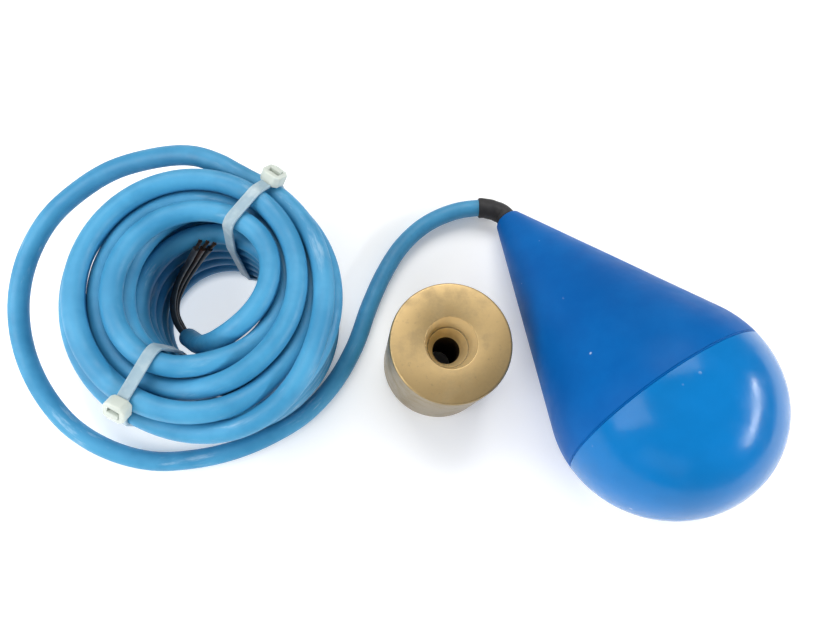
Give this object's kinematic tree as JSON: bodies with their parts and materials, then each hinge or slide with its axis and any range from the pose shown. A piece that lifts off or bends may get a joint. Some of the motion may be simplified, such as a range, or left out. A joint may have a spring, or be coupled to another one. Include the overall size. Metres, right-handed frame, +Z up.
{
  "type": "cable float switch",
  "caption": "Pear-shaped cable float switch with a tied coil of blue cable, a stepped-bore brass counterweight beside it, and a ball-operated switch inside.",
  "frame": {"origin": "middle of the base of the float and the counterweight, on the floor that they stand on; the cable is left out of that box", "axes": "+Z up; +X from the coil towards the float, along the longest side of the float and counterweight; -Y towards the viewer of the picture"},
  "size_m": [0.2979, 0.1429, 0.0859],
  "materials": {
    "cone_blue": "satin royal blue polypropylene",
    "dome_blue": "smooth brighter blue polypropylene",
    "black_rubber": "matte black rubber",
    "white_plastic": "moulded off-white plastic",
    "cable_blue": "matte sky-blue cable sheath with faint scuffs",
    "nylon": "translucent natural nylon",
    "steel": "bright steel",
    "grey_plastic": "moulded grey plastic",
    "black_plastic": "moulded black plastic",
    "copper": "bare copper alloy",
    "core_black": "black core insulation",
    "core_brown": "brown core insulation",
    "core_grey": "grey core insulation",
    "brass": "turned brass, faintly stained"
  },
  "bodies": {
    "cable": {"cable_coil": "cable_blue", "cable_lead": "cable_blue", "cable_boot": "black_rubber", "tie_upper": "nylon", "tie_lower": "nylon", "end_core_black": "core_black", "end_core_brown": "core_brown", "end_core_grey": "core_grey", "end_strand_black": "copper", "end_strand_brown": "copper", "end_strand_grey": "copper"},
    "float": {"cone_shell": "cone_blue", "dome_shell": "dome_blue", "seam_seal": "black_rubber", "neck_grommet": "black_rubber", "grommet_retainer": "white_plastic", "cable_tail": "cable_blue", "switch_carrier": "white_plastic", "capsule_body": "white_plastic", "capsule_seal": "black_rubber", "capsule_cap": "white_plastic", "ball_track": "nylon", "switch_holder": "grey_plastic", "switch_case": "black_plastic", "switch_cover": "black_plastic", "lever_pin": "steel", "carrier_screw_1": "steel", "carrier_screw_2": "steel", "carrier_screw_3": "steel", "terminal_1": "copper", "terminal_2": "copper", "terminal_3": "copper", "inner_core_black": "core_black", "inner_core_brown": "core_brown", "inner_core_grey": "core_grey", "switch_screw_1": "steel", "switch_screw_2": "steel"},
    "ball": {"steel_ball": "steel"},
    "lever": {"switch_lever": "steel"},
    "plunger": {"switch_plunger": "white_plastic"},
    "blade": {"contact_blade": "copper"},
    "counterweight": {"counterweight": "brass"}
  },
  "joints": [
    {"name": "float_tilt", "type": "hinge", "parent": "cable", "child": "float", "pos_m": [-0.01912, 0.06618, 0.01491], "axis": [-0.8729, -0.4879, 0], "range_deg": [0, 70]},
    {"name": "counterweight_lift", "type": "slide", "parent": "cable", "child": "counterweight", "axis": [0, 0, 1], "range_m": [0, 0.03]},
    {"name": "ball_roll", "type": "slide", "parent": "float", "child": "ball", "axis": [0.4626, -0.8277, 0.3177], "range_m": [0, 0.014]},
    {"name": "lever_swing", "type": "hinge", "parent": "float", "child": "lever", "pos_m": [0.0208, -0.00525, 0.0447], "axis": [-0.8729, -0.4879, 0], "range_deg": [0, 10]},
    {"name": "plunger_travel", "type": "slide", "parent": "float", "child": "plunger", "axis": [0.4626, -0.8277, 0.3177], "range_m": [0, 0.0008]},
    {"name": "blade_swing", "type": "hinge", "parent": "float", "child": "blade", "pos_m": [0.01877, -0.00161, 0.04283], "axis": [-0.8729, -0.4879, 0], "range_deg": [0, 4]}
  ],
  "couplings": [
    {"joint": "lever_swing", "follows": "ball_roll", "rad_per_m": 12.46},
    {"joint": "plunger_travel", "follows": "ball_roll", "ratio": 0.0571},
    {"joint": "blade_swing", "follows": "ball_roll", "rad_per_m": 4.98}
  ]
}
